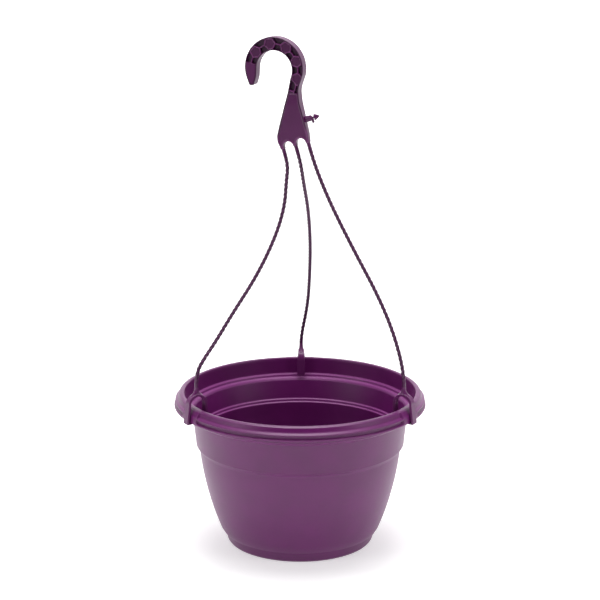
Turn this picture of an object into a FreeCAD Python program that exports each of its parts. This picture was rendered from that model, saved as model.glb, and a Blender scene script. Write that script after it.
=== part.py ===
"""Hanging basket: a moulded pot, a hook plate and three twisted strands that clip on the rim.

Millimetres, +Z up. The origin is the middle of the pot's foot, and the front is -Y.
"""
import FreeCAD
import Part
import Sketcher
import math
import os
from FreeCAD import Placement, Rotation, Vector

os.makedirs("parts", exist_ok=True)
doc = FreeCAD.newDocument("HangingBasket")

# ---------------------------------------------------------------- driving dimensions
SIZES = {
    # pot
    "rim_radius": 125.0,
    "crest_radius": 116.6,
    "crest_height": 154.5,
    "skirt_bottom": 141.0,
    "skirt_wall": 1.7,
    "mouth_wall_radius": 114.6,
    "wall": 1.6,
    "step_height": 100.0,
    "step_radius": 100.7,
    "shoulder_height": 15.4,
    "shoulder_radius": 79.8,
    "wall_bow_radius": 295.0,
    "foot_radius": 73.0,
    "foot_inset": 10.6,
    "floor_height": 3.0,
    "upper_ledge": 136.0,
    "lower_ledge": 112.0,
    "ledge_depth": 4.0,
    "drain_radius": 4.0,
    "drain_circle": 46.0,
    "drain_count": 6,
    # hook plate, in its own upright frame: the middle strand leaves it at its origin
    "plate_thick": 10.0,
    "root_thick": 5.0,
    "taper_start": 36.0,
    "hook_offset": 1.0,
    "hook_height": 73.2,
    "hook_radius": 18.4,
    "limb_width": 11.8,
    "crown_rise": 1.2,
    "root_pitch": 13.6,
    "root_width": 3.4,
    "root_shift": -0.8,
    "root_bottom": -3.0,
    "arch_height": 6.0,
    "neck_height": 48.5,
    "neck_offset": 13.6,
    "neck_width": 11.0,
    "fan_half_width": 16.5,
    "peg_height": 19.2,
    "peg_length": 16.0,
    "peg_thick": 3.6,
    # strands and clips
    "strand_diameter": 3.8,
    "root_length": 5.0,
    "clip_width": 8.0,
    "clip_thick": 2.4,
    "clip_height": 29.3,
    "clip_inner_leg": 26.2,
    "clip_inner_radius": 106.0,
    "clip_outer_radius": 126.2,
    "clip_foot_radius": 128.8,
    "clip_toe": 3.2,
    "clip_neck": 7.0,
}

sheet = doc.addObject("Spreadsheet::Sheet", "Sizes")
for row, (alias, value) in enumerate(SIZES.items(), start=1):
    sheet.set(f"A{row}", alias)
    sheet.set(f"B{row}", str(value))
    sheet.setAlias(f"B{row}", alias)
doc.recompute()

# Where the loose hanger rests: it leans to the left and its plate faces a little left.
HOOK_PLACE = Vector(-4.2, 0.5, 404.6)
HOOK_LEAN = 17.0
HOOK_YAW = 22.0

# Clips sit 120 degrees apart: azimuth, and the height of each one's toe on the loose hanger.
CLIPS = {"left": (210.4, 139.6), "right": (330.0, 139.6), "back": (89.4, 134.2)}

# The bends of each strand's route. Its first run is straight out of the hook's root and its
# last straight down into the clip's neck, and both are worked out from those pieces.
STRAND_BENDS = {
    "left": [(-13.3, 5, 366), (-14.9, 2, 341), (-23.9, -6, 312), (-42.1, -18, 276),
             (-64.9, -32, 243), (-82.5, -45, 216), (-92.4, -53.2, 203)],
    "right": [(20.5, -11, 368), (32.7, -18, 341), (52.8, -30, 303), (75.7, -43.5, 262),
              (91, -53, 226)],
    "back": [(3.4, 8, 363), (8, 28, 333), (10.3, 56, 294), (9.9, 84, 254.5), (8.1, 107, 215)],
}
ROOT_RUN = 12.0
NECK_RUN = {"left": 14.0, "right": 13.0, "back": 8.0}
ROOT_SIDE = {"left": -1, "back": 0, "right": 1}


# ---------------------------------------------------------------- drawing helpers
def new_body(label):
    """A PartDesign body whose label is its node's name."""
    body = doc.addObject("PartDesign::Body", label)
    body.Label = label
    return body


def plane(body, role):
    """One of the body's own origin planes, found by its role."""
    return next(item for item in body.Origin.OriginFeatures if item.Role == role)


def new_sketch(body, role, name):
    """A sketch attached to one of the body's origin planes."""
    sketch = body.newObject("Sketcher::SketchObject", name)
    sketch.AttachmentSupport = [(plane(body, role), "")]
    sketch.MapMode = "FlatFace"
    doc.recompute()
    return sketch


def value_of(sketch, text):
    """The number that a cell formula gives, such as 'rim_radius - 2'."""
    return float(sketch.evalExpression(with_sheet(text)))


def with_sheet(text):
    """The formula with each alias written as a cell of the sheet."""
    words = str(text).split()
    return " ".join(f"Sizes.{word}" if word in SIZES else word for word in words)


def arc_middle(start, end, radius, ccw, large):
    """The point halfway round the arc from start to end, as in a drawn path's arc."""
    chord = end - start
    rise = math.sqrt(max(radius ** 2 - (chord.Length / 2) ** 2, 0.0))
    left = Vector(-chord.y, chord.x, 0).normalize()
    centre = (start + end) / 2 + left * (rise if ccw != large else -rise)
    return centre + left * (-radius if ccw else radius)


def draw_outline(sketch, steps):
    """Close an outline of lines and arcs, every corner and radius bound to a formula.

    Each step is (x, y) for a line that ends there, or (x, y, radius, ccw, large) for an arc.
    """
    corners = [Vector(value_of(sketch, s[0]), value_of(sketch, s[1]), 0) for s in steps]
    ends = []
    for index, step in enumerate(steps):
        start, end = corners[index - 1], corners[index]
        if len(step) == 2:
            sketch.addGeometry(Part.LineSegment(start, end), False)
        else:
            radius = value_of(sketch, step[2])
            middle = arc_middle(start, end, radius, step[3], step[4])
            sketch.addGeometry(Part.Arc(start, middle, end), False)
        first = (sketch.getPoint(index, 1) - start).Length < 1e-6
        ends.append((1, 2) if first else (2, 1))
    for index, step in enumerate(steps):
        following = (index + 1) % len(steps)
        tip, tail = ends[index][1], ends[following][0]
        sketch.addConstraint(Sketcher.Constraint("Coincident", index, tip, following, tail))
        for kind, text, number in (("DistanceX", step[0], corners[index].x),
                                   ("DistanceY", step[1], corners[index].y)):
            bound = sketch.addConstraint(Sketcher.Constraint(kind, -1, 1, index, tip, number))
            sketch.setExpression(f"Constraints[{bound}]", with_sheet(text))
        if len(step) > 2:
            radius = value_of(sketch, step[2])
            bound = sketch.addConstraint(Sketcher.Constraint("Radius", index, radius))
            sketch.setExpression(f"Constraints[{bound}]", with_sheet(step[2]))
    doc.recompute()


def pad(body, sketch, name, width):
    """A pad that grows the same amount to both sides of its sketch."""
    feature = body.newObject("PartDesign::Pad", name)
    feature.Profile = sketch
    feature.SideType = "Symmetric"
    feature.setExpression("Length", f"Sizes.{width}")
    doc.recompute()
    return feature


def through_cut(body, sketch, name):
    """A cut through everything on both sides of its sketch."""
    feature = body.newObject("PartDesign::Pocket", name)
    feature.Profile = sketch
    feature.SideType = "Symmetric"
    feature.Type = "ThroughAll"
    doc.recompute()
    return feature


# ---------------------------------------------------------------- pot
def make_pot():
    """One wall turned about the axis: foot, bowed side, step, hollow rolled rim, two ledges."""
    body = new_body("pot_shell")
    sketch = new_sketch(body, "XZ_Plane", "PotSection")
    draw_outline(sketch, [
        ("0", "floor_height"),
        ("foot_radius - 11", "floor_height"),
        ("foot_radius - 8", "0"),
        ("foot_radius - 2", "0"),
        ("foot_radius", "2", "2", True, False),
        ("foot_radius + 2.5", "foot_inset"),
        ("shoulder_radius - 2.4", "shoulder_height - 4"),
        ("shoulder_radius", "shoulder_height", "4", True, False),
        ("step_radius", "step_height", "wall_bow_radius", True, False),
        ("step_radius + 2.9", "step_height + 1.6"),
        ("step_radius + 7", "upper_ledge - 3"),
        ("mouth_wall_radius - 2.6", "upper_ledge - 2"),
        ("mouth_wall_radius + wall", "upper_ledge + 0.2"),
        ("mouth_wall_radius + wall", "crest_height - 2.8"),
        ("rim_radius - 6.8", "crest_height - 3.1"),
        ("rim_radius - 4.6", "skirt_bottom + 7.4"),
        ("rim_radius - 4.4", "skirt_bottom + 2.2"),
        ("rim_radius - skirt_wall", "skirt_bottom + 1.2"),
        ("rim_radius - skirt_wall", "skirt_bottom"),
        ("rim_radius - 0.4", "skirt_bottom"),
        ("rim_radius", "skirt_bottom + 0.5"),
        ("rim_radius", "skirt_bottom + 1.6"),
        ("rim_radius - 2.4", "skirt_bottom + 2.6"),
        ("rim_radius - 2.4", "skirt_bottom + 4.8"),
        ("rim_radius - 1", "skirt_bottom + 5.3"),
        ("rim_radius - 1", "skirt_bottom + 6.4"),
        ("rim_radius - 3.4", "skirt_bottom + 8.1"),
        ("rim_radius - 5", "crest_height - 1"),
        ("rim_radius - 6.6", "crest_height - 0.2"),
        ("crest_radius", "crest_height"),
        ("mouth_wall_radius", "crest_height - 2.2", "2.2", True, False),
        ("mouth_wall_radius - 0.4", "upper_ledge + 2.1"),
        ("mouth_wall_radius - 0.4 - ledge_depth", "upper_ledge + 1.5"),
        ("mouth_wall_radius - 0.4 - ledge_depth", "upper_ledge - 0.8"),
        ("mouth_wall_radius - 0.4 - ledge_depth * 2", "upper_ledge - 1.4"),
        ("mouth_wall_radius - 0.7 - ledge_depth * 2", "upper_ledge - 2.6"),
        ("step_radius + 2.6", "lower_ledge + 2.1"),
        ("step_radius + 1", "lower_ledge + 1.5"),
        ("step_radius + 1", "lower_ledge - 0.8"),
        ("step_radius - 0.6", "lower_ledge - 1.4"),
        ("step_radius - wall", "step_height + 0.5"),
        ("shoulder_radius - wall", "shoulder_height + 1", "wall_bow_radius - wall", False, False),
        ("shoulder_radius - wall - 2.4", "shoulder_height - 1.6"),
        ("foot_radius + 1", "foot_inset + 1.6"),
        ("foot_radius - 2", "floor_height + wall"),
        ("0", "floor_height + wall"),
    ])
    turned = body.newObject("PartDesign::Revolution", "PotWall")
    turned.Profile = sketch
    turned.ReferenceAxis = (sketch, ["V_Axis"])
    turned.Angle = 360
    doc.recompute()
    drain = new_sketch(body, "XY_Plane", "DrainSection")
    hole = drain.addGeometry(Part.Circle(Vector(SIZES["drain_circle"], 0, 0),
                                         Vector(0, 0, 1), SIZES["drain_radius"]), False)
    bound = drain.addConstraint(Sketcher.Constraint("Radius", hole, SIZES["drain_radius"]))
    drain.setExpression(f"Constraints[{bound}]", "Sizes.drain_radius")
    bound = drain.addConstraint(
        Sketcher.Constraint("DistanceX", -1, 1, hole, 3, SIZES["drain_circle"]))
    drain.setExpression(f"Constraints[{bound}]", "Sizes.drain_circle")
    drain.addConstraint(Sketcher.Constraint("PointOnObject", hole, 3, -1))
    doc.recompute()
    cut = through_cut(body, drain, "DrainHole")
    ring = body.newObject("PartDesign::PolarPattern", "DrainHoles")
    ring.Originals = [cut]
    ring.Axis = (drain, ["N_Axis"])
    ring.Angle = 360
    ring.setExpression("Occurrences", "Sizes.drain_count")
    body.Tip = ring
    doc.recompute()
    return body


# ---------------------------------------------------------------- hook plate and label peg
def hook_placement():
    """The plate's frame: leaned in its own plane, then turned about the vertical."""
    lean = Rotation(Vector(0, 1, 0), -HOOK_LEAN)
    yaw = Rotation(Vector(0, 0, 1), -HOOK_YAW)
    return Placement(HOOK_PLACE, yaw.multiply(lean))


def add_cone(body, name, low_radius, high_radius, height, offset):
    """A round taper that stands on a body's XY plane, moved by the three offset formulas."""
    cone = body.newObject("PartDesign::AdditiveCone", name)
    cone.AttachmentSupport = [(plane(body, "XY_Plane"), "")]
    cone.MapMode = "FlatFace"
    cone.setExpression("Radius1", with_sheet(low_radius))
    cone.setExpression("Radius2", with_sheet(high_radius))
    cone.setExpression("Height", with_sheet(height))
    for letter, text in zip("xyz", offset):
        cone.setExpression(f".AttachmentOffset.Base.{letter}", with_sheet(text))
    doc.recompute()
    return cone


def make_hook():
    """A flat plate: open hook above, a fan below that ends in three strand roots."""
    body = new_body("hook")
    sketch = new_sketch(body, "XZ_Plane", "HookOutline")
    outer = "hook_radius + limb_width"
    reach = SIZES["hook_radius"] + SIZES["limb_width"]

    def on_circle(radius_text, radius, angle):
        """Formulas of the point on a circle about the hook's middle, or the raised outer one."""
        turn = math.radians(angle)
        rise = " + crown_rise" if radius_text == outer else ""
        return (f"hook_offset + ( {radius_text} ) * {math.cos(turn):.6f}",
                f"hook_height{rise} + ( {radius_text} ) * {math.sin(turn):.6f}")

    arch_radius = "( ( root_pitch - root_width ) ^ 2 / 4 + arch_height ^ 2 ) / ( 2 * arch_height )"
    steps = [
        (*on_circle(outer, reach, -30), outer, False, True),
        ("neck_offset + neck_width / 2", "neck_height"),
        ("fan_half_width + 0.4", "neck_height - 12"),
        ("fan_half_width - 0.7", "5"),
    ]
    for side in (1, 0, -1):
        arch = () if side == 1 else (arch_radius, True, True)
        root = f"root_pitch * {side} + root_shift"
        steps.append((f"{root} + root_width / 2", "root_bottom", *arch))
        steps.append((f"{root} - root_width / 2", "root_bottom"))
    steps += [
        ("0 - fan_half_width - 0.5", "5"),
        ("0.6 - fan_half_width", "10.5", "8", False, False),
        ("neck_offset - neck_width / 2", "neck_height"),
        on_circle("hook_radius", SIZES["hook_radius"], -38),
        (*on_circle("hook_radius", SIZES["hook_radius"], 166), "hook_radius", True, True),
        ("hook_offset - 25.2", "hook_height - 9.4"),
        ("hook_offset - 29.6", "hook_height - 8.6", "2.3", False, False),
        on_circle(outer, reach, 184),
    ]
    draw_outline(sketch, steps)
    pad(body, sketch, "HookPlate", "plate_thick")
    for side, name in ((1, "Back"), (-1, "Front")):
        wedge = new_sketch(body, "YZ_Plane", f"{name}TaperSection")
        draw_outline(wedge, [
            (f"{side} * plate_thick / 2", "taper_start"),
            (f"{side} * root_thick / 2", "root_bottom"),
            (f"{side} * root_thick / 2", "root_bottom - 1"),
            (f"{side} * ( plate_thick / 2 + 1 )", "root_bottom - 1"),
            (f"{side} * ( plate_thick / 2 + 1 )", "taper_start"),
        ])
        through_cut(body, wedge, f"{name}Taper")
    for side, name in ((-1, "Left"), (0, "Middle"), (1, "Right")):
        add_cone(body, f"{name}Root", "strand_diameter / 2", "root_width / 2 + 0.1",
                 "root_length + 0.5",
                 (f"root_pitch * {side} + root_shift", "0", "root_bottom - root_length"))
    body.Placement = hook_placement()
    doc.recompute()
    return body


def make_label_peg():
    """The barbed peg on the hook's edge that a plant label pushes onto."""
    body = new_body("label_peg")
    sketch = new_sketch(body, "XZ_Plane", "PegOutline")
    draw_outline(sketch, [
        ("fan_half_width - 0.4", "peg_height + 2.6"),
        ("fan_half_width + 5.5", "peg_height + 2.2"),
        ("fan_half_width + 7.5", "peg_height + 0.7"),
        ("fan_half_width + peg_length - 5", "peg_height + 0.7"),
        ("fan_half_width + peg_length - 6", "peg_height + 3"),
        ("fan_half_width + peg_length - 0.8", "peg_height + 0.7"),
        ("fan_half_width + peg_length - 0.8", "peg_height - 0.7", "0.9", False, False),
        ("fan_half_width + peg_length - 6", "peg_height - 3"),
        ("fan_half_width + peg_length - 5", "peg_height - 0.7"),
        ("fan_half_width + 8.6", "peg_height - 0.7"),
        ("fan_half_width + 8.6", "peg_height - 4.8"),
        ("fan_half_width + 6.8", "peg_height - 4.8", "0.95", False, False),
        ("fan_half_width + 6.8", "peg_height - 2"),
        ("fan_half_width + 5", "peg_height - 2.6"),
        ("fan_half_width - 0.4", "peg_height - 2.6"),
    ])
    pad(body, sketch, "PegPlate", "peg_thick")
    body.Placement = hook_placement()
    doc.recompute()
    return body


# ---------------------------------------------------------------- rim clips
def clip_placement(side):
    """A clip is drawn along +X and turned to its place on the rim."""
    azimuth, height = CLIPS[side]
    return Placement(Vector(0, 0, height), Rotation(Vector(0, 0, 1), azimuth))


def make_clip(side):
    """An inverted U over the rim: inner leg, crown with a neck, outer leg with a toe."""
    body = new_body(f"rim_clip_{side}")
    sketch = new_sketch(body, "XZ_Plane", f"{side.title()}ClipSection")
    crown = "( clip_outer_radius - clip_inner_radius ) / 2"
    middle = "( clip_outer_radius + clip_inner_radius ) / 2"
    spring = f"clip_height - {crown}"
    draw_outline(sketch, [
        ("clip_foot_radius", "0.8"),
        ("clip_outer_radius", spring),
        (middle, "clip_height", crown, True, False),
        ("clip_inner_radius", spring, crown, True, False),
        ("clip_inner_radius", "clip_height - clip_inner_leg + 1"),
        ("clip_inner_radius + clip_thick", "clip_height - clip_inner_leg"),
        ("clip_inner_radius + clip_thick", spring),
        (middle, "clip_height - clip_thick", f"{crown} - clip_thick", False, False),
        ("clip_outer_radius - clip_thick", spring, f"{crown} - clip_thick", False, False),
        ("clip_foot_radius - clip_thick", "clip_thick - 1.3"),
        ("clip_foot_radius - clip_thick - clip_toe", "clip_thick - 1.5"),
        ("clip_foot_radius - clip_thick - clip_toe", "0.3"),
        ("clip_foot_radius - 0.8", "0"),
    ])
    pad(body, sketch, f"{side.title()}ClipStrap", "clip_width")
    add_cone(body, f"{side.title()}ClipNeck", "clip_width / 2 - 0.8", "strand_diameter / 2",
             "clip_neck + 0.6",
             (middle, "0", "clip_height - 0.6"))
    body.Placement = clip_placement(side)
    doc.recompute()
    return body


# ---------------------------------------------------------------- strands
def strand_route(side):
    """The corner points of a strand, from the hook's root down to the clip's neck."""
    hook = hook_placement()
    down = hook.Rotation.multVec(Vector(0, 0, -1))
    root = hook.multVec(Vector(ROOT_SIDE[side] * SIZES["root_pitch"] + SIZES["root_shift"], 0,
                               SIZES["root_bottom"] - SIZES["root_length"]))
    middle = (SIZES["clip_outer_radius"] + SIZES["clip_inner_radius"]) / 2
    neck = clip_placement(side).multVec(
        Vector(middle, 0, SIZES["clip_height"] + SIZES["clip_neck"]))
    bends = [Vector(*point) for point in STRAND_BENDS[side]]
    return [root, root + down * ROOT_RUN, *bends, neck + Vector(0, 0, NECK_RUN[side]), neck]


def tangent_path(points):
    """Straight runs joined by arcs as large as the two runs beside each corner allow."""
    edges, radii, start = [], [], points[0]
    for before, corner, after in zip(points, points[1:], points[2:]):
        back, ahead = before - corner, after - corner
        half_turn = (math.pi - back.getAngle(ahead)) / 2
        reach = 0.45 * min(back.Length, ahead.Length)
        radius = reach / math.tan(half_turn)
        back.normalize()
        ahead.normalize()
        inward = (back + ahead).normalize()
        middle = corner + inward * (radius / math.cos(half_turn) - radius)
        arc_start, arc_end = corner + back * reach, corner + ahead * reach
        edges.append(Part.LineSegment(start, arc_start).toShape())
        edges.append(Part.Arc(arc_start, middle, arc_end).toShape())
        radii.append(radius)
        start = arc_end
    edges.append(Part.LineSegment(start, points[-1]).toShape())
    return Part.Wire(edges), radii


def make_strand(side):
    """A round tube along the strand's route."""
    points = strand_route(side)
    path, radii = tangent_path(points)
    radius = SIZES["strand_diameter"] / 2
    section = Part.Wire([Part.Circle(points[0], points[1] - points[0], radius).toShape()])
    strand = doc.addObject("Part::Feature", f"strand_{side}")
    strand.Label = f"strand_{side}"
    strand.Shape = path.makePipeShell([section], True, False)
    expected = math.pi * radius ** 2 * path.Length
    print(f"strand_{side}: length {path.Length:.1f} mm, tightest arc {min(radii):.0f} mm,",
          f"volume {strand.Shape.Volume:.1f} for {expected:.1f} mm3")
    return strand


# ---------------------------------------------------------------- build, check and write
nodes = [make_pot(), make_hook(), make_label_peg()]
nodes += [make_clip(side) for side in CLIPS]
nodes += [make_strand(side) for side in CLIPS]
doc.recompute()

for item in doc.Objects:
    if "Invalid" in item.State or "Error" in item.State:
        raise SystemExit(f"{item.Label} did not compute: {item.State}")
for node in nodes:
    shape = node.Shape
    if shape.isNull() or not shape.isValid() or len(shape.Solids) != 1:
        raise SystemExit(f"{node.Label} is not one sound solid")
    box = shape.BoundBox
    print(f"{node.Label}: {shape.Volume:.0f} mm3, z {box.ZMin:.1f} to {box.ZMax:.1f}")
    shape.exportStep(f"parts/{node.Label}.step")
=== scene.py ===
# %% [markdown]
# A moulded hanging basket stands on a pale floor: a purple pot with a rolled rim, three clips
# that straddle the rim, three twisted strands, and an open hook plate with a honeycomb relief.
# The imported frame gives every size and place. Each piece below is a surface worked out with
# numpy, because a moulding is a section turned about an axis or carried along a path, and a
# formula keeps its walls even. Sizes are in millimetres until a mesh is made.

# %% Load the frame and keep its box
import math

import bmesh
import bpy
import numpy as np
from mathutils import Euler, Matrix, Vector


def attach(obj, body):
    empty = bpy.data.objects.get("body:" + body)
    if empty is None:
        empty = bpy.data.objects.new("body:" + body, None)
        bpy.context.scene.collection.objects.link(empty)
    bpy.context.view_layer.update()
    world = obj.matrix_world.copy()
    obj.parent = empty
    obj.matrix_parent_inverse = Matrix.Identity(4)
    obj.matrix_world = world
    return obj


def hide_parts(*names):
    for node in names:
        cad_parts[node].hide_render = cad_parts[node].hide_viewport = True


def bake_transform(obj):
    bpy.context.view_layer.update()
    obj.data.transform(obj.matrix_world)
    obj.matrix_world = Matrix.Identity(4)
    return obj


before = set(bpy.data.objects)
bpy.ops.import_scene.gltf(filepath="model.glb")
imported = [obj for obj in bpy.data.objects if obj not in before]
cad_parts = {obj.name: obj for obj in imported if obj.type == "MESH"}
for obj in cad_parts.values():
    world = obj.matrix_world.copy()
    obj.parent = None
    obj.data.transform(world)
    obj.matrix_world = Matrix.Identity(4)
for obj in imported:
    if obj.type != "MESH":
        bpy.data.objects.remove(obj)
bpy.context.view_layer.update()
MM = 0.001
SIDES = ("left", "right", "back")

# %% [markdown]
# The camera comes first, so that every later piece can be judged from the same place. A long
# lens from a little above keeps the pot's sides upright, and nothing is shifted.

# %% Camera
CAMERA_PLACE = (0.0, -2.1, 0.802)
CAMERA_TILT_DOWN = 14.8
CAMERA_LENS = 132.4


def make_camera():
    """A long lens that looks along +Y and down at the basket."""
    data = bpy.data.cameras.new("camera")
    data.lens = CAMERA_LENS
    camera = bpy.data.objects.new("camera", data)
    camera.location = CAMERA_PLACE
    camera.rotation_euler = Euler((math.radians(90 - CAMERA_TILT_DOWN), 0, 0))
    bpy.context.scene.collection.objects.link(camera)
    bpy.context.scene.camera = camera
    return camera


make_camera()
bpy.context.scene.view_settings.view_transform = "Standard"
print("camera at", CAMERA_PLACE, "lens", CAMERA_LENS)

# %% [markdown]
# Every piece is put into Blender the same way: an array of points on a grid becomes quads, and
# each row joins up with itself. A row whose points are all in one place is a pole, and merging
# doubled points closes it.

# %% Grid meshes


def add_object(name, mesh):
    """An object at the origin that shows the mesh."""
    piece = bpy.data.objects.new(name, mesh)
    bpy.context.scene.collection.objects.link(piece)
    return piece


def grid_piece(name, points):
    """Quads between neighbours in points[row, column] (in mm), closed along each row."""
    rows, columns = points.shape[:2]
    index = np.arange(rows * columns).reshape(rows, columns)
    index = np.hstack([index, index[:, :1]])
    corners = (index[:-1, :-1], index[:-1, 1:], index[1:, 1:], index[1:, :-1])
    quads = np.stack(corners, axis=-1).reshape(-1, 4)
    mesh = bpy.data.meshes.new(name)
    mesh.from_pydata((points.reshape(-1, 3) * MM).tolist(), [], quads.tolist())
    return tidy_mesh(add_object(name, mesh))


def tidy_mesh(piece, gap=0.004):
    """Merge doubled points, drop empty faces, turn faces outwards and shade smooth."""
    mesh = bmesh.new()
    mesh.from_mesh(piece.data)
    bmesh.ops.remove_doubles(mesh, verts=mesh.verts, dist=gap * MM)
    bmesh.ops.dissolve_degenerate(mesh, edges=mesh.edges, dist=gap * MM / 4)
    bmesh.ops.recalc_face_normals(mesh, faces=mesh.faces)
    mesh.to_mesh(piece.data)
    mesh.free()
    piece.data.shade_smooth()
    return piece


print("a grid of points becomes a closed piece")

# %% [markdown]
# Some steps need a modifier, such as a remesh. It is used up at once and leaves plain mesh, so
# that later steps can move its points with numpy. A piece can also carry a number at every
# point, which its material reads by name.

# %% Modifiers, points and marks


def with_modifier(piece, kind, **settings):
    """Add one modifier, use it up, and leave its result as the piece's own mesh."""
    modifier = piece.modifiers.new(kind.lower(), kind)
    for setting, value in settings.items():
        setattr(modifier, setting, value)
    shown = piece.evaluated_get(bpy.context.evaluated_depsgraph_get())
    mesh = bpy.data.meshes.new_from_object(shown)
    piece.modifiers.clear()
    old, piece.data = piece.data, mesh
    bpy.data.meshes.remove(old)
    return piece


def join_pieces(name, pieces):
    """One mesh that holds several pieces; the pieces themselves go."""
    mesh = bmesh.new()
    for piece in pieces:
        mesh.from_mesh(piece.data)
    whole = bpy.data.meshes.new(name)
    mesh.to_mesh(whole)
    mesh.free()
    for piece in pieces:
        bpy.data.meshes.remove(piece.data)
    return add_object(name, whole)


def get_points(piece):
    """The mesh's points as an array, in mm."""
    flat = np.empty(len(piece.data.vertices) * 3, dtype=np.float32)
    piece.data.vertices.foreach_get("co", flat)
    return flat.reshape(-1, 3).astype(float) / MM


def set_points(piece, points):
    """Put an array of points, in mm, back into the mesh."""
    flat = np.ascontiguousarray(points * MM, dtype=np.float32).reshape(-1)
    piece.data.vertices.foreach_set("co", flat)
    piece.data.update()


def mark(piece, name, share):
    """Give every point of a piece a number from 0 to 1 for its material to read."""
    numbers = piece.data.attributes.new(name, "FLOAT", "POINT")
    numbers.data.foreach_set("value", share.astype(np.float32))


def count(piece):
    """Triangles in a piece, for the print lines."""
    piece.data.calc_loop_triangles()
    return f"{piece.name}: {len(piece.data.loop_triangles)} triangles"


print("modifiers, points and marks are ready")

# %% [markdown]
# Moulded edges are never sharp. A section is drawn as corners with a radius each, and this
# helper swaps every corner for a short arc: the arc starts and ends where the radius touches
# the two edges, and a smooth turn between them is a quadratic curve, which is close enough to
# a circle at this size.

# %% Rounded sections


def smoothstep(low, high, value):
    """0 below low, 1 above high, an S-shaped ramp between; it falls if low is over high."""
    ramp = np.clip((value - low) / (high - low), 0, 1)
    return ramp * ramp * (3 - 2 * ramp)


def rounded(corners, closed=True, steps=4):
    """Corners (x, y, radius) to a polyline whose corners are short quadratic curves."""
    corners = np.array(corners, float)
    places, radii = corners[:, :2], corners[:, 2]
    line = []
    for number, (place, radius) in enumerate(zip(places, radii)):
        ends = not closed and number in (0, len(places) - 1)
        if radius == 0 or ends:
            line.append(place[None])
            continue
        before = places[number - 1] - place
        after = places[(number + 1) % len(places)] - place
        long_before, long_after = np.linalg.norm(before), np.linalg.norm(after)
        cosine = np.dot(before, after) / (long_before * long_after)
        half = math.acos(max(-1, min(1, cosine))) / 2
        reach = min(radius / math.tan(half), 0.48 * long_before, 0.48 * long_after)
        start = place + before / long_before * reach
        end = place + after / long_after * reach
        t = np.linspace(0, 1, steps + 1)[:, None]
        line.append((1 - t) ** 2 * start + 2 * t * (1 - t) * place + t ** 2 * end)
    return np.vstack(line)


square = [(0, 0, 1), (9, 0, 1), (9, 9, 1), (0, 9, 1)]
print("a square with rounded corners has", len(rounded(square)), "points")

# %% [markdown]
# A material is a tree of nodes. A small class wraps one node socket so that shader arithmetic
# reads like ordinary arithmetic, and one method adds any other node.

# %% Shader arithmetic


class Shade:
    """A node socket that can be added, multiplied and mixed like a number."""

    def __init__(self, tree, socket):
        self.tree, self.socket = tree, socket

    def node(self, kind, inputs=(), output=0, **settings):
        """Any node of the same tree: its settings, its inputs by name or number, one output."""
        made = self.tree.nodes.new(kind)
        for setting, value in settings.items():
            setattr(made, setting, value)
        for key, value in dict(inputs).items():
            if isinstance(value, Shade):
                self.tree.links.new(value.socket, made.inputs[key])
            else:
                made.inputs[key].default_value = value
        return Shade(self.tree, made.outputs[output])

    def maths(self, operation, *values):
        """One Math node."""
        return self.node("ShaderNodeMath", enumerate(values), operation=operation)

    def __add__(self, other):
        return self.maths("ADD", self, other)

    def __sub__(self, other):
        return self.maths("SUBTRACT", self, other)

    def __mul__(self, other):
        return self.maths("MULTIPLY", self, other)

    def __rsub__(self, other):
        return self.maths("SUBTRACT", other, self)

    __radd__ = __add__
    __rmul__ = __mul__

    def ramp(self, low, high):
        """0 below low, 1 above high, smooth between."""
        return self.node("ShaderNodeMapRange", {"Value": self, "From Min": low, "From Max": high},
                         interpolation_type="SMOOTHSTEP")

    def blend(self, colour, other):
        """This number as the factor between two colours."""
        return self.node("ShaderNodeMix", {0: self, 6: colour, 7: other}, output=2,
                         data_type="RGBA")

    def noise(self, scale, detail):
        """Noise at this vector, 0 to 1."""
        return self.node("ShaderNodeTexNoise",
                         {"Vector": self, "Scale": scale, "Detail": detail})

    def attribute(self, name):
        """The number that a piece carries at each point; 0 on a piece without it."""
        return self.node("ShaderNodeAttribute", output=2, attribute_name=name)


print("sockets add, subtract and multiply")

# %% [markdown]
# The pot and the hanger are the same moulding plastic in two close shades, so they share a
# recipe. The colour wanders slightly, as a coloured moulding's does, and a fine grain breaks up
# the shine. One mark paints highlights into the colour on edges, ribs and crests and a faint
# sheen over the clips, and another paints shade into hollows, grooves and the strands.

# %% Plastics
CLOUD_SCALE, SPECK_SCALE = 38.0, 2600.0
GRAIN_DEPTH = 0.0002
# How dark the painted shade is, and how much paler the painted highlight is.
PIT_SHADE = 0.5
HIGHLIGHT_GAIN, HIGHLIGHT_LIFT = 1.7, 0.03


def plastic(name, dark, light, roughness, grain):
    """Matte plastic whose colour wanders a little between two tones, with a fine grain and painted
    light.
    """
    material = bpy.data.materials.new(name)
    material.use_nodes = True
    tree = material.node_tree
    shader = tree.nodes["Principled BSDF"]
    shader.inputs["IOR"].default_value = 1.5
    place = Shade(tree, tree.nodes.new("ShaderNodeTexCoord").outputs["Object"])
    cloud = place.noise(CLOUD_SCALE, 3.0)
    speck = place.noise(SPECK_SCALE, 2.0)
    colour = cloud.ramp(0.3, 0.7).blend(dark, light)
    # Painted highlight: a paler copy of the light tone, mixed in by the first mark.
    highlight_colour = tuple(HIGHLIGHT_GAIN * part + HIGHLIGHT_LIFT for part in light[:3]) + (1,)
    colour = place.attribute("painted_highlight").blend(colour, highlight_colour)
    # Painted shade: a darker copy of the dark tone, mixed in by the second mark.
    deep = tuple(PIT_SHADE * part for part in dark[:3]) + (1,)
    colour = place.attribute("painted_shade").blend(colour, deep)
    tree.links.new(colour.socket, shader.inputs["Base Color"])
    rough = roughness + (cloud - 0.5) * 0.08 + (speck - 0.5) * 0.06
    tree.links.new(rough.socket, shader.inputs["Roughness"])
    bump = place.node("ShaderNodeBump",
                      {"Strength": grain, "Distance": GRAIN_DEPTH, "Height": speck})
    tree.links.new(bump.socket, shader.inputs["Normal"])
    return material


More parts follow.
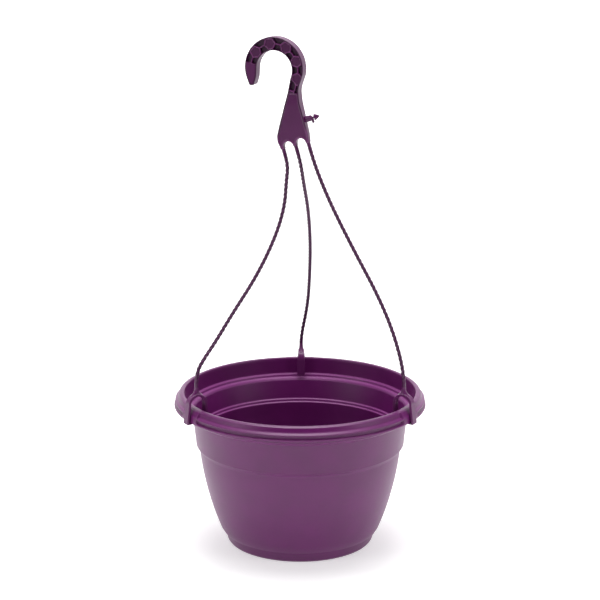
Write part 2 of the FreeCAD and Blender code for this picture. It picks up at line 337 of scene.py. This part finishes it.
POT_PLASTIC = plastic("pot purple", (0.105, 0.0030, 0.092, 1), (0.120, 0.0036, 0.105, 1),
                      0.40, 0.2)
HANGER_PLASTIC = plastic("hanger purple", (0.080, 0.0028, 0.070, 1), (0.092, 0.0034, 0.080, 1),
                         0.34, 0.1)
print("materials", [m.name for m in (POT_PLASTIC, HANGER_PLASTIC)])

# %% [markdown]
# The pot is one closed section turned about the axis. Its wall bows outwards on a large circle,
# so those rows come from the circle itself. The rolled rim carries two ridges with a groove
# between them, but where a clip sits there is a smooth panel instead. So there are two sections
# with the same number of rows. Corners are (radius, z, rounding).

# %% Pot section
SHOULDER = (79.8, 15.4)
STEP = (100.7, 100.0)
INNER_STEP = (99.1, 100.4)
WALL = 1.6
BOW_RADIUS = 295.0
SKIRT_BOTTOM = 141.0
RIM_RIDGED = [(124.55, 141.0, 0.4), (125.0, 141.4, 0.4), (125.0, 142.3, 0.4), (122.7, 143.3, 0.3),
              (122.4, 144.0, 0.3), (122.4, 145.8, 0.4), (123.9, 146.3, 0.4), (124.0, 147.3, 0.4),
              (121.8, 148.9, 0.4), (121.0, 149.9, 0.5), (119.9, 153.5, 0.9), (118.2, 154.5, 0.9),
              (116.5, 154.75, 0.6)]
RIM_PLAIN = [(124.55, 141.0, 0.4), (125.0, 141.4, 0.5), (125.0, 142.5, 0.5), (124.95, 144.0, 0.4),
             (124.9, 144.8, 0.5), (124.7, 146.5, 0.4), (124.6, 147.1, 0.4), (124.3, 148.3, 0.5),
             (123.3, 150.2, 0.6), (122.6, 151.2, 0.6), (121.0, 153.5, 0.9), (119.2, 154.6, 0.9),
             (116.5, 154.75, 0.6)]
LEDGES = [(113.7, 139.6, 0), (113.6, 138.5, 0.4), (110.9, 137.7, 0.5), (110.5, 135.5, 0.4),
          (108.0, 134.7, 0.5), (106.4, 132.6, 1.2), (103.1, 115.4, 0), (102.9, 114.2, 0.5),
          (101.4, 113.6, 0.6), (101.2, 111.4, 0.6), (99.6, 110.8, 0.4), (99.5, 109.7, 0)]


def bow(low, high, radius, number=22):
    """Points on the circle through two wall points, bulging away from the axis."""
    low, high = np.array(low, float), np.array(high, float)
    chord = high - low
    reach = math.sqrt(radius ** 2 - np.dot(chord, chord) / 4)
    middle = (low + high) / 2 + reach * np.array([-chord[1], chord[0]]) / np.linalg.norm(chord)
    start, end = (math.atan2(*(point - middle)[::-1]) for point in (low, high))
    turn = np.linspace(start, end, number)
    return middle + radius * np.stack([np.cos(turn), np.sin(turn)], axis=1)


def pot_section(ridged):
    """The whole wall as one line of (radius, z): underside, outside, rim, inside, floor."""
    below = rounded([(0, 3, 0), (61.6, 3, 1), (64.8, 0, 1), (71.2, 0, 1.4), (73.0, 2.2, 1.4),
                     (75.5, 10.6, 0.6), (77.0, 10.9, 0.6), (*SHOULDER, 0)], closed=False)
    upper = rounded([(*STEP, 0), (103.7, 101.2, 0.7), (104.0, 105, 4), (107.3, 133, 2),
                     (112.2, 134, 2), (116.2, 136.4, 2), (116.2, 151.7, 1), (118.2, 151.4, 0.8),
                     (120.4, 148.4, 0.8), (120.6, 143.4, 1), (123.3, 142.2, 1),
                     (123.3, SKIRT_BOTTOM, 0.4), *(RIM_RIDGED if ridged else RIM_PLAIN),
                     (115.0, 154.4, 1.0), (114.6, 152.3, 1.5), *LEDGES, (*INNER_STEP, 0)],
                    closed=False)
    floor = rounded([(SHOULDER[0] - WALL, SHOULDER[1] + 1, 0), (76.0, 13.0, 1), (74.0, 12.2, 1),
                     (71.0, 4.6, 3), (40.0, 4.6, 0), (0, 4.6, 0)], closed=False)
    inner = bow((SHOULDER[0] - WALL, SHOULDER[1] + 1), INNER_STEP, BOW_RADIUS - WALL)[::-1]
    outer = bow(SHOULDER, STEP, BOW_RADIUS)
    return np.vstack([below, outer[1:-1], upper, inner[1:-1], floor])


print("section rows", len(pot_section(True)), "and", len(pot_section(False)))

# %% [markdown]
# Turning a section needs a list of column angles. Each column takes a share of the ridged and
# the plain section, and the columns stand closer where that share changes, so that the ends of
# the ridges are crisp.

# %% Turned pot
SEAT_ANGLES = (210, 330, 90)
SEAT_HALF_WIDTH = 6.8


def pot_columns():
    """Column angles in degrees: even all round, and closer at the edges of each seat."""
    angles = set(np.round(np.arange(0, 360, 1.2), 3))
    for middle in SEAT_ANGLES:
        for side in (-1, 1):
            edge = middle + side * SEAT_HALF_WIDTH
            angles |= set(np.round(edge + np.arange(-0.8, 0.81, 0.16), 3))
    kept = []
    for angle in sorted(angles):
        if not kept or angle - kept[-1] > 0.1:
            kept.append(angle)
    return np.array(kept)


def make_pot():
    """point(row, column) = ridged(row) + share(column) (plain(row) - ridged(row)), turned."""
    degrees = pot_columns()
    nearest = np.min([np.abs(degrees - middle) for middle in SEAT_ANGLES], axis=0)
    share = smoothstep(SEAT_HALF_WIDTH + 0.5, SEAT_HALF_WIDTH - 0.5, nearest)[None, :, None]
    ridged, plain = (pot_section(kind)[:, None, :] for kind in (True, False))
    section = ridged + share * (plain - ridged)
    turn = np.radians(degrees)
    radius, z = section[..., 0], section[..., 1]
    return grid_piece("pot", np.stack([radius * np.cos(turn), radius * np.sin(turn), z], -1))


pot = make_pot()
print(count(pot))

# %% [markdown]
# Water leaves through a ring of holes in the floor. They are cut with round pins. The thin
# edges of the ledges and ridges scatter more light than the walls do, so a faint highlight is
# painted on them. A mark fades between rows, so plain rows stand just above and below each
# marked edge.

# %% Drain holes and painted edge highlights
INNER_EDGES = (137.9, 135.0, 113.9, 111.1)
OUTER_EDGES = (148.3, 142.7)
MOUTH_RADIUS, GROOVE_RADIUS = 115, 121


def drain_holes(pot, number=6, ring=46.0, radius=4.0):
    """Cut a ring of round holes through the floor."""
    turn = np.linspace(0, 2 * math.pi, 49)[:-1]
    pins = []
    for hole in range(number):
        middle = 2 * math.pi * hole / number
        around = [radius * np.cos(turn) + ring * math.cos(middle),
                  radius * np.sin(turn) + ring * math.sin(middle)]
        rows = [np.stack([*around, np.full_like(turn, z)], -1) for z in (1.0, 8.0)]
        ends = [np.broadcast_to(row.mean(axis=0), row.shape) for row in rows]
        pins.append(grid_piece(f"pin_{hole}", np.stack([ends[0], *rows, ends[1]])))
    cutter = join_pieces("drain_pins", pins)
    with_modifier(pot, "BOOLEAN", object=cutter, operation="DIFFERENCE", solver="EXACT")
    bpy.data.meshes.remove(cutter.data)


def paint_edge_highlights(pot):
    """Paint faint highlights on the ledges' edges inside, and on the two ridges' edges outside."""
    x, y, z = get_points(pot).T
    radius = np.hypot(x, y)
    inside, outside = (smoothstep(1.2, 0.5, np.min([np.abs(z - edge) for edge in edges], axis=0))
                       for edges in (INNER_EDGES, OUTER_EDGES))
    # Painted highlights on the thin edges inside the mouth and on the ridges outside.
    mark(pot, "painted_highlight", 0.6 * inside * (radius < MOUTH_RADIUS)
         + 0.3 * outside * (radius > GROOVE_RADIUS))


drain_holes(pot)
paint_edge_highlights(pot)
print(count(pot))

# %% [markdown]
# Small mouldings with fillets are awkward as grids. For these a plate or bar is drawn roughly,
# remeshed into one skin of small even faces, and relaxed, which rounds every edge and leaves
# fillets where parts meet.

# %% Plates, round bars and one-skin mouldings


def plate(name, outline, low, high):
    """A flat polygon in the XZ plane made solid between two values of y."""
    sides = [np.insert(outline, 1, y, axis=1) for y in (low, high)]
    number = len(outline)
    mesh = bpy.data.meshes.new(name)
    faces = [list(range(number)), list(range(number, 2 * number))[::-1]]
    for start in range(number):
        end = (start + 1) % number
        faces.append([start, start + number, end + number, end])
    mesh.from_pydata((np.vstack(sides) * MM).tolist(), [], faces)
    return tidy_mesh(add_object(name, mesh))


def bar(name, places, steps=28):
    """A closed bar up the z axis: each place is (x, y, z, half width x, half width y)."""
    turn = np.linspace(0, 2 * math.pi, steps + 1)[:-1]
    rows = [np.stack([x + a * np.cos(turn), y + b * np.sin(turn), np.full_like(turn, z)], -1)
            for x, y, z, a, b in places]
    return grid_piece(name, np.stack(rows))


def one_skin(name, pieces, voxel, rounds):
    """Join pieces into one skin of even faces, then relax it so that edges round over."""
    whole = join_pieces(name, pieces)
    with_modifier(whole, "REMESH", mode="VOXEL", voxel_size=voxel * MM, adaptivity=0.0)
    with_modifier(whole, "SMOOTH", factor=0.5, iterations=rounds)
    return whole


print("plate, bar and one_skin are ready")

# %% [markdown]
# A clip is a strap bent over the rim: an inner leg, a crown, and an outer leg whose toe hooks
# under the skirt. The strand grows out of the crown through a flared neck, and the strap's
# edges are pinched in towards the crown. All three clips are one shape at two heights and three
# angles.

# %% Clips
CLIP_PLACES = {"left": (210.4, 139.6), "right": (330.0, 139.6), "back": (89.4, 134.2)}
CLIP_INNER, CLIP_OUTER, CLIP_FOOT = 106.0, 126.2, 128.8
CLIP_TOP = 29.3
CLIP_LEG = 26.2
CLIP_NECK = 7.0
CLIP_WIDTH = 8.0
CLIP_THICK = 2.4
CLIP_TOE = 3.2
CLIP_PINCH = 0.22
CLIP_PAINTED_SHEEN = 0.35
FLARE_ALONG, FLARE_ACROSS = 4.6, 1.3
STRAND_RADIUS = 1.9


def arc(middle, radius, start, end, number):
    """Points round a circle from one angle to another, in degrees."""
    turn = np.radians(np.linspace(start, end, number))
    return np.array(middle) + radius * np.stack([np.cos(turn), np.sin(turn)], axis=1)


def clip_outline():
    """The strap's edge in (radius, height), once round."""
    half = (CLIP_OUTER - CLIP_INNER) / 2
    middle = (CLIP_INNER + half, CLIP_TOP - half)
    over = arc(middle, half, 0, 180, 37)
    under = arc(middle, half - CLIP_THICK, 180, 0, 37)
    low = CLIP_TOP - CLIP_LEG
    toe = CLIP_FOOT - CLIP_THICK - CLIP_TOE
    leg = rounded([(CLIP_INNER, middle[1], 0), (CLIP_INNER, low + 0.6, 0.8),
                   (CLIP_INNER + CLIP_THICK, low, 0.8), (CLIP_INNER + CLIP_THICK, middle[1], 0)],
                  closed=False)
    foot = rounded([(CLIP_OUTER - CLIP_THICK, middle[1], 0), (CLIP_FOOT - CLIP_THICK, 1.1, 0.4),
                    (toe, 0.9, 0.3), (toe, 0.2, 0.3), (CLIP_FOOT - 0.7, 0, 0.6),
                    (CLIP_FOOT, 0.8, 0.6), (CLIP_OUTER, middle[1], 0)], closed=False)
    return np.vstack([over, leg[1:-1], under, foot[1:-1]])


def make_clip(side):
    """The strap and its flared neck as one skin, turned and raised to its place."""
    half = CLIP_WIDTH / 2
    strap = plate("strap", clip_outline(), -half, half)
    crown = (CLIP_INNER + CLIP_OUTER) / 2
    root = CLIP_TOP - 1.6
    places = [(crown, 0, root, 0, 0)]
    for share in np.linspace(0, 1, 14):
        flare = (1 - share) ** 2.6
        places.append((crown, 0, root + share * (CLIP_NECK + 1.6),
                       STRAND_RADIUS + FLARE_ALONG * flare,
                       STRAND_RADIUS + FLARE_ACROSS * flare))
    places.append((crown, 0, CLIP_TOP + CLIP_NECK, 0, 0))
    clip = one_skin(f"clip_{side}", [strap, bar("neck", places)], voxel=0.3, rounds=5)
    x, y, z = get_points(clip).T
    y = y * (1 - CLIP_PINCH * smoothstep(14, CLIP_TOP - 1, z) * smoothstep(2.2, 3.8, np.abs(y)))
    azimuth, height = CLIP_PLACES[side]
    cosine, sine = math.cos(math.radians(azimuth)), math.sin(math.radians(azimuth))
    set_points(clip, np.stack([x * cosine - y * sine, x * sine + y * cosine, z + height], -1))
    # Painted sheen: the whole clip takes a share of the paler highlight colour.
    mark(clip, "painted_highlight", np.full(len(x), CLIP_PAINTED_SHEEN))
    return clip


clips = {side: make_clip(side) for side in SIDES}
print([count(clip) for clip in clips.values()])

# %% [markdown]
# The hook plate is drawn in its own plane, u across and v up. Both faces carry a honeycomb of
# shallow cells on the curved limb and a shallow field on the fan, inside a raised border. The
# plate thins towards the strand roots. It is modelled at full thickness, and then every point
# moves along the plate's normal: first the relief is taken off, then the taper.

# %% Hook outline
HOOK_PLACE = np.array([-4.2, 0.5, 404.6])
HOOK_LEAN, HOOK_YAW = math.radians(17), math.radians(22)
EYE = (1.0, 73.2)
EYE_RADIUS = 18.4
LIMB = 11.8
ROOTS = (12.8, -0.8, -14.4)
CROWN_RISE = 1.2
ROOT_TIP = -8.0
HALF_PLATE = 5.0
ROOT_THINNING = 0.5


def hook_to_world(points):
    """Plate (u, depth, v) to world: lean about y, turn about z, move."""
    lean_c, lean_s = math.cos(-HOOK_LEAN), math.sin(-HOOK_LEAN)
    yaw_c, yaw_s = math.cos(-HOOK_YAW), math.sin(-HOOK_YAW)
    u, depth, v = points.T
    x, z = u * lean_c + v * lean_s, -u * lean_s + v * lean_c
    return np.stack([x * yaw_c - depth * yaw_s, x * yaw_s + depth * yaw_c, z], -1) + HOOK_PLACE


def hook_outline():
    """The plate's edge, clockwise from the tip over the top of the hook."""
    top = arc((EYE[0], EYE[1] + CROWN_RISE), EYE_RADIUS + LIMB, 184, -28, 90)
    right = rounded([top[-1].tolist() + [0], (19.2, 48.5, 20), (17.0, 36.5, 12), (15.8, 5, 6),
                     (14.5, -3, 0.6)], closed=False, steps=8)
    teeth = []
    for left, near in ((ROOTS[1], ROOTS[0]), (ROOTS[2], ROOTS[1])):
        teeth.append(arc(((left + near) / 2, -2.17), 5.17, -9.2, 189.2, 26))
    left = rounded([(-16.1, -3, 0), (-17.1, 5, 3), (-15.9, 10.5, 7), (-10, 20.2, 30),
                    (8.1, 48.5, 25), (14.6, 60.6, 8)], closed=False, steps=8)
    inner = arc(EYE, EYE_RADIUS, -34, 160, 80)
    tip = rounded([(*inner[-1], 0), (-19.3, 71.0, 14), (-24.2, 63.6, 2.4), (-28.7, 64.5, 2.6),
                   (*top[0], 0)], closed=False, steps=8)
    return np.vstack([top, right[1:], *teeth, left, inner, tip[1:-1]])


def distance_to_edge(u, v, outline):
    """How far each point of the face lies from the outline."""
    nearest = np.full(len(u), 99.0)
    for start, end in zip(outline, np.roll(outline, -1, axis=0)):
        along = end - start
        share = ((u - start[0]) * along[0] + (v - start[1]) * along[1]) / max(along @ along, 1e-9)
        share = np.clip(share, 0, 1)
        gap = np.hypot(u - start[0] - share * along[0], v - start[1] - share * along[1])
        nearest = np.minimum(nearest, gap)
    return nearest


HOOK_OUTLINE = hook_outline()
print("hook outline", len(HOOK_OUTLINE), "points")

# %% [markdown]
# The honeycomb follows the limb: one coordinate runs along its centre line and the other
# across it. Its hexagons are two families that fit between each other. One family is whole
# cells down the middle of the limb, and the other is the deeper pockets along both edges. The
# distance inside a hexagon's wall says how much of a point is rib and how much is hollow. The
# ribs get a painted highlight and the hollows painted shade; the plate's edge gets a painted
# highlight low down and painted shade higher up. Each pair of numbers given to smoothstep is
# where one surface starts to turn into the next, in mm.

# %% Hook relief
CELL = 5.62
FIRST_CELL = math.radians(44)
NECK_DRIFT = 3.8
CELL_DEPTH, POCKET_DEPTH, FAN_DEPTH = 0.8, 2.6, 0.6


def cell_gap(along, across, shift):
    """half - max(y, y / 2 + x sqrt(3) / 2): distance inside a hexagon, below zero outside."""
    half = CELL * math.sqrt(3) / 2
    x = np.abs((along / (3 * CELL) + shift + 0.5) % 1.0 - 0.5) * 3 * CELL
    y = np.abs((across / (2 * half) + shift + 0.5) % 1.0 - 0.5) * 2 * half
    return half - np.maximum(y, y / 2 + x * math.sqrt(3) / 2)


def hook_relief(u, v):
    """How far each point lies under the plate's face, and its shares of painted highlight and
    shade.
    """
    edge = distance_to_edge(u, v, HOOK_OUTLINE)
    angle = np.arctan2(v - EYE[1], u - EYE[0])
    angle = np.where(angle < math.radians(-120), angle + 2 * math.pi, angle)
    middle = EYE_RADIUS + LIMB / 2
    along = (angle - FIRST_CELL) * middle
    across = np.hypot(u - EYE[0], v - EYE[1] - CROWN_RISE / 2 * np.sin(angle)) - middle
    across = across - NECK_DRIFT * smoothstep(math.radians(-34), math.radians(-64), angle)
    whole, pocket = cell_gap(along, across, 0.0), cell_gap(along, across, 0.5)
    line = v + 0.25 * (u - 13.6)
    on_limb = (smoothstep(46.0, 47.5, line) * smoothstep(153, 149, np.degrees(angle))
               * smoothstep(0.9, 1.4, edge))
    cells = (CELL_DEPTH * smoothstep(0.28, 0.7, whole)
             + POCKET_DEPTH * smoothstep(0.28, 0.9, pocket))
    fan = smoothstep(46.5, 45.0, line) * smoothstep(1.2, 2.2, edge)
    # Painted highlight on the honeycomb's ribs.
    painted_highlight = on_limb * smoothstep(0.6, 0.2, np.maximum(whole, pocket))
    # Painted highlight along the plate's edge, low on the plate.
    rim = smoothstep(12, 6, v) * smoothstep(2.4, 1.2, edge)
    # Painted shade in the cells and pockets, and along the plate's edge higher up.
    painted_shade = on_limb * (0.9 * smoothstep(0.5, 1.1, pocket) + 0.3 * smoothstep(0.5, 1.1, whole))
    painted_shade = np.maximum(painted_shade, 0.75 * smoothstep(2.0, 1.2, edge) * smoothstep(8, 14, v))
    return on_limb * cells + FAN_DEPTH * fan, np.maximum(painted_highlight, 0.6 * rim), painted_shade


print("whole cells round the hook", round(math.pi * (EYE_RADIUS + LIMB / 2) / (3 * CELL), 1))

# %% [markdown]
# The plate and its three strand roots are joined into one skin. Then its points move along the
# plate's normal for the relief, squeeze towards the roots for the taper, and are placed.

# %% Hook


def thinning(v):
    """The plate's thickness as a share of 10 mm: full above v = 36, half at the roots."""
    return np.interp(v, [-3, 36], [ROOT_THINNING, 1.0])


def make_hook():
    """Plate and root cones as one skin, then relief, taper and placing."""
    parts = [plate("plate", HOOK_OUTLINE, -HALF_PLATE, HALF_PLATE)]
    deep = 2.3 / ROOT_THINNING
    for number, root in enumerate(ROOTS):
        ball = [(root, 0, ROOT_TIP - STRAND_RADIUS * math.sin(turn),
                 STRAND_RADIUS * math.cos(turn), STRAND_RADIUS * math.cos(turn) / ROOT_THINNING)
                for turn in np.linspace(math.pi / 2, 0, 8)]
        top = [(root, 0, -2.5, STRAND_RADIUS, deep), (root, 0, -1.0, STRAND_RADIUS, deep),
               (root, 0, -1, 0, 0)]
        parts.append(bar(f"root_{number}", ball + top))
    hook = one_skin("hook_plate", parts, voxel=0.33, rounds=9)
    u, depth, v = get_points(hook).T
    on_face = smoothstep(4.2, 4.8, np.abs(depth))
    relief, painted_highlight, painted_shade = hook_relief(u, v)
    depth = depth - np.sign(depth) * on_face * relief
    set_points(hook, np.stack([u, depth * thinning(v), v], axis=1))
    # The painted highlight and painted shade go only on the two faces.
    mark(hook, "painted_highlight", painted_highlight * on_face)
    mark(hook, "painted_shade", painted_shade * on_face)
    with_modifier(hook, "SMOOTH", factor=0.3, iterations=1)
    set_points(hook, hook_to_world(get_points(hook)))
    return hook


hook = make_hook()
print(count(hook))

# %% [markdown]
# A peg stands on the hook's right edge for a plant label: a stub, a thin stem, a barbed head
# like an arrow, and a short prong that hangs down.

# %% Label peg
PEG_HEIGHT = 19.2
PEG_FOOT, PRONG_PLACE = 16.2, 23.8


def sideways(points, start):
    """A bar made up z, laid along +u from a start point (u, v)."""
    x, y, z = points.T
    return np.stack([start[0] + z, y, start[1] + x], axis=1)


def make_peg():
    """Stub, stem and head turned about one line, plus the prong."""
    reach = [(0.0, 3.1, 1.9), (5.0, 2.9, 1.9), (7.2, 2.6, 1.8), (7.9, 1.1, 1.1), (10.4, 1.0, 1.0),
             (9.8, 3.0, 1.8), (10.6, 3.2, 1.85), (14.7, 1.1, 1.1), (15.1, 0.6, 0.6)]
    places = [(0, 0, 0.0, 0, 0)] + [(0, 0, z, a, b) for z, a, b in reach] + [(0, 0, 15.1, 0, 0)]
    pin = bar("pin", places)
    set_points(pin, sideways(get_points(pin), (PEG_FOOT, PEG_HEIGHT)))
    drop = [(-5.2, 0, 0), (-5.2, 0.7, 0.8), (-4.4, 1.2, 1.3), (-1.0, 1.1, 1.5), (0, 0, 0)]
    prong = bar("prong", [(PRONG_PLACE, 0, PEG_HEIGHT + rise, a, b) for rise, a, b in drop])
    peg = one_skin("barbed_peg", [pin, prong], voxel=0.2, rounds=3)
    set_points(peg, hook_to_world(get_points(peg)))
    return peg


peg = make_peg()
print(count(peg))

# %% [markdown]
# Each strand is a cord, so its line is a NURBS path whose control points are the same route
# points that the solid model uses. Blender works the path out once, its points are read, and
# the path itself goes.

# %% Strand paths
STRAND_BENDS = {
    "left": [(-13.3, 5, 366), (-14.9, 2, 341), (-23.9, -6, 312), (-42.1, -18, 276),
             (-64.9, -32, 243), (-82.5, -45, 216), (-92.4, -53.2, 203)],
    "right": [(20.5, -11, 368), (32.7, -18, 341), (52.8, -30, 303), (75.7, -43.5, 262),
              (91, -53, 226)],
    "back": [(3.4, 8, 363), (8, 28, 333), (10.3, 56, 294), (9.9, 84, 254.5), (8.1, 107, 215)],
}
ROOT_RUN = 12.0
NECK_RUN = {"left": 14.0, "right": 13.0, "back": 8.0}
ROOT_SIDE = {"left": ROOTS[2], "back": ROOTS[1], "right": ROOTS[0]}


def strand_route(side):
    """The corner points of a strand in mm, from the hook's root to the clip's neck."""
    ends = hook_to_world(np.array([[ROOT_SIDE[side], 0, ROOT_TIP],
                                   [ROOT_SIDE[side], 0, ROOT_TIP - ROOT_RUN]]))
    crown = (CLIP_INNER + CLIP_OUTER) / 2
    azimuth, height = CLIP_PLACES[side]
    turn = math.radians(azimuth)
    neck = np.array([crown * math.cos(turn), crown * math.sin(turn),
                     height + CLIP_TOP + CLIP_NECK])
    return np.vstack([ends, STRAND_BENDS[side], neck + [0, 0, NECK_RUN[side]], neck])


def smooth_line(side):
    """Points in mm along the order-three NURBS whose control points are the route."""
    route = strand_route(side) * MM
    data = bpy.data.curves.new(f"path_{side}", "CURVE")
    data.dimensions = "3D"
    data.resolution_u = 48
    spline = data.splines.new("NURBS")
    spline.points.add(len(route) - 1)
    for point, place in zip(spline.points, route):
        point.co = (*place, 1)
    spline.order_u = 3
    spline.use_endpoint_u = True
    path = bpy.data.objects.new(f"path_{side}", data)
    bpy.context.scene.collection.objects.link(path)
    shown = path.evaluated_get(bpy.context.evaluated_depsgraph_get())
    mesh = bpy.data.meshes.new_from_object(shown)
    flat = np.empty(len(mesh.vertices) * 3, dtype=np.float32)
    mesh.vertices.foreach_get("co", flat)
    bpy.data.meshes.remove(mesh)
    bpy.data.curves.remove(data)
    return flat.reshape(-1, 3).astype(float) / MM


lines = {side: smooth_line(side) for side in SIDES}

# %% [markdown]
# The moulded strand looks twisted. Its skin is three round lobes that turn steadily about the
# line and fade into a plain round end. The strands are thin and shade themselves, so painted
# shade covers each strand at part strength, most in the grooves between the lobes, and the
# lobes' crests get a painted highlight.

# %% Twisted strands
TWIST_PITCH = 14.4
LOBES = 3
LOBE_CENTRE, LOBE_RADIUS = 0.88, 1.08
ROW_SPACING = 0.45
SELF_SHADE, GROOVE_SHADE, CREST_PAINTED_HIGHLIGHT = 0.45, 0.55, 0.3


def even_line(line, spacing):
    """The same line with evenly spaced points, and the distance along it of each."""
    along = np.concatenate([[0], np.cumsum(np.linalg.norm(np.diff(line, axis=0), axis=1))])
    number = round(along[-1] / spacing) + 1
    places = np.linspace(0, along[-1], number)
    return np.stack([np.interp(places, along, axis) for axis in line.T], axis=1), places


def distance_to_line(points, line, blocks=24):
    """Distance from each point to the nearest of a line's points."""
    return np.concatenate([np.linalg.norm(block[:, None] - line, axis=-1).min(axis=1)
                           for block in np.array_split(points, blocks)])


def make_strand(side, columns=30):
    """radius(angle) = c cos b + sqrt(r^2 - c^2 sin^2 b), b = angle from the nearest lobe."""
    line, along = even_line(lines[side], ROW_SPACING)
    heading = np.gradient(line, axis=0)
    heading /= np.linalg.norm(heading, axis=1)[:, None]
    across = np.cross(heading, [0.0, 1.0, 0.0])
    across /= np.linalg.norm(across, axis=1)[:, None]
    beside = np.cross(heading, across)
    angle = np.linspace(0, 2 * math.pi, columns + 1)[:-1][None, :]
    lobe = 2 * math.pi / LOBES
    from_lobe = (angle - 2 * math.pi * along[:, None] / TWIST_PITCH) % lobe
    from_lobe = np.minimum(from_lobe, lobe - from_lobe)
    twisted = LOBE_CENTRE * np.cos(from_lobe) + np.sqrt(
        LOBE_RADIUS ** 2 - (LOBE_CENTRE * np.sin(from_lobe)) ** 2)
    to_end = np.minimum(along, along[-1] - along)
    share = smoothstep(2.0, 10.0, to_end)[:, None]
    radius = STRAND_RADIUS + share * (twisted - STRAND_RADIUS)
    rows = (line[:, None] + radius[..., None] * (np.cos(angle)[..., None] * across[:, None]
                                                 + np.sin(angle)[..., None] * beside[:, None]))
    caps = []
    for end, sign in ((0, -1), (-1, 1)):
        ring = rows[end] - line[end]
        tilts = np.radians([18, 36, 54, 72, 90])
        caps.append([line[end] + ring * math.cos(tilt)
                     + sign * heading[end] * STRAND_RADIUS * math.sin(tilt) for tilt in tilts])
    strand = grid_piece(f"twisted_strand_{side}", np.stack([*caps[0][::-1], *rows, *caps[1]]))
    from_line = distance_to_line(get_points(strand), line)
    # Painted shade over the whole strand, deepest in the grooves, and painted highlights on the
    # crests.
    mark(strand, "painted_shade", SELF_SHADE + GROOVE_SHADE * smoothstep(1.85, 1.4, from_line))
    mark(strand, "painted_highlight", CREST_PAINTED_HIGHLIGHT * smoothstep(1.88, 1.95, from_line))
    return strand


strands = {side: make_strand(side) for side in SIDES}
print([count(strand) for strand in strands.values()])

# %% [markdown]
# The pieces take their plastics and ride their bodies, and the parts of the frame that they
# stand for are hidden. The strands ride no body: their points are baked into the world.

# %% Materials and bodies
for piece, material, slot in [(pot, POT_PLASTIC, "pot_plastic"),
                              (hook, HANGER_PLASTIC, "hook_plastic"),
                              (peg, HANGER_PLASTIC, "hook_plastic"),
                              *[(clip, HANGER_PLASTIC, "clip_plastic") for clip in clips.values()],
                              *[(strand, HANGER_PLASTIC, "strand_plastic")
                                for strand in strands.values()]]:
    piece.data.materials.clear()
    piece.data.materials.append(material)

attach(pot, "pot")
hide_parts("pot_shell")
for side in SIDES:
    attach(clips[side], "clips")
    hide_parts(f"rim_clip_{side}")
for piece, node in ((hook, "hook"), (peg, "label_peg")):
    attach(piece, "hook")
    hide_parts(node)
for side in SIDES:
    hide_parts(f"strand_{side}")
    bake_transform(strands[side])

# %% [markdown]
# The basket stands on a white sheet in even white light, so that its outline reads clearly and
# the plastic shows a soft grey sheen where it turns away. Two dark cards in front of it, which
# the camera doesn't see, keep the pot's front deep in colour.

# %% Floor and light


def sheet(name, corners, shade, glow=0.0):
    """A flat four-cornered sheet of one grey, which may glow."""
    mesh = bpy.data.meshes.new(name)
    mesh.from_pydata(corners, [], [tuple(range(len(corners)))])
    piece = add_object(name, mesh)
    material = bpy.data.materials.new(name)
    material.use_nodes = True
    shader = material.node_tree.nodes["Principled BSDF"]
    shader.inputs["Base Color"].default_value = (shade, shade, shade, 1)
    shader.inputs["Roughness"].default_value = 0.95
    shader.inputs["Emission Color"].default_value = (1, 1, 1, 1)
    shader.inputs["Emission Strength"].default_value = glow
    mesh.materials.append(material)
    return piece


def soft_light(name, place, size, power):
    """A square panel of light that faces the middle of the basket."""
    data = bpy.data.lights.new(name, "AREA")
    data.shape = "SQUARE"
    data.size = size
    data.energy = power
    light = bpy.data.objects.new(name, data)
    light.location = place
    aim = Vector((0, 0, 0.15)) - Vector(place)
    light.rotation_euler = aim.to_track_quat("-Z", "Y").to_euler()
    bpy.context.scene.collection.objects.link(light)
    return light


WORLD_STRENGTH = 0.38
PALE, DARK = 0.8, 0.03
LOW, HIGH = -0.0005, 3.2
WIDE, CARD_WIDE = 3.0, 2.2
NEAR, FRONT, BACK = -2.7, -0.9, 2.4
world = bpy.data.worlds.new("white room")
world.use_nodes = True
background = world.node_tree.nodes["Background"]
background.inputs["Color"].default_value = (1, 1, 1, 1)
background.inputs["Strength"].default_value = WORLD_STRENGTH
bpy.context.scene.world = world
floor = sheet("floor", [(-WIDE, FRONT, LOW), (WIDE, FRONT, LOW), (WIDE, BACK, LOW),
                        (-WIDE, BACK, LOW)], PALE, glow=0.5)
backdrop = sheet("backdrop", [(-WIDE, BACK, LOW), (WIDE, BACK, LOW), (WIDE, BACK, HIGH),
                              (-WIDE, BACK, HIGH)], PALE, glow=0.9)
dark_floor = sheet("dark_floor", [(-WIDE, NEAR, LOW), (WIDE, NEAR, LOW), (WIDE, FRONT, LOW),
                                  (-WIDE, FRONT, LOW)], DARK)
dark_card = sheet("dark_card", [(-CARD_WIDE, NEAR, LOW), (CARD_WIDE, NEAR, LOW),
                                (CARD_WIDE, NEAR, HIGH), (-CARD_WIDE, NEAR, HIGH)], DARK)
lights = [soft_light("left panel", (-1.6, -0.9, 0.9), 0.8, 6.0),
          soft_light("right panel", (1.6, -0.8, 0.9), 0.8, 5.4),
          soft_light("top panel", (0.0, 0.1, 1.7), 1.1, 30)]
for card in (dark_floor, dark_card):
    card.visible_camera = False
print("stage", floor.name, [light.name for light in lights])
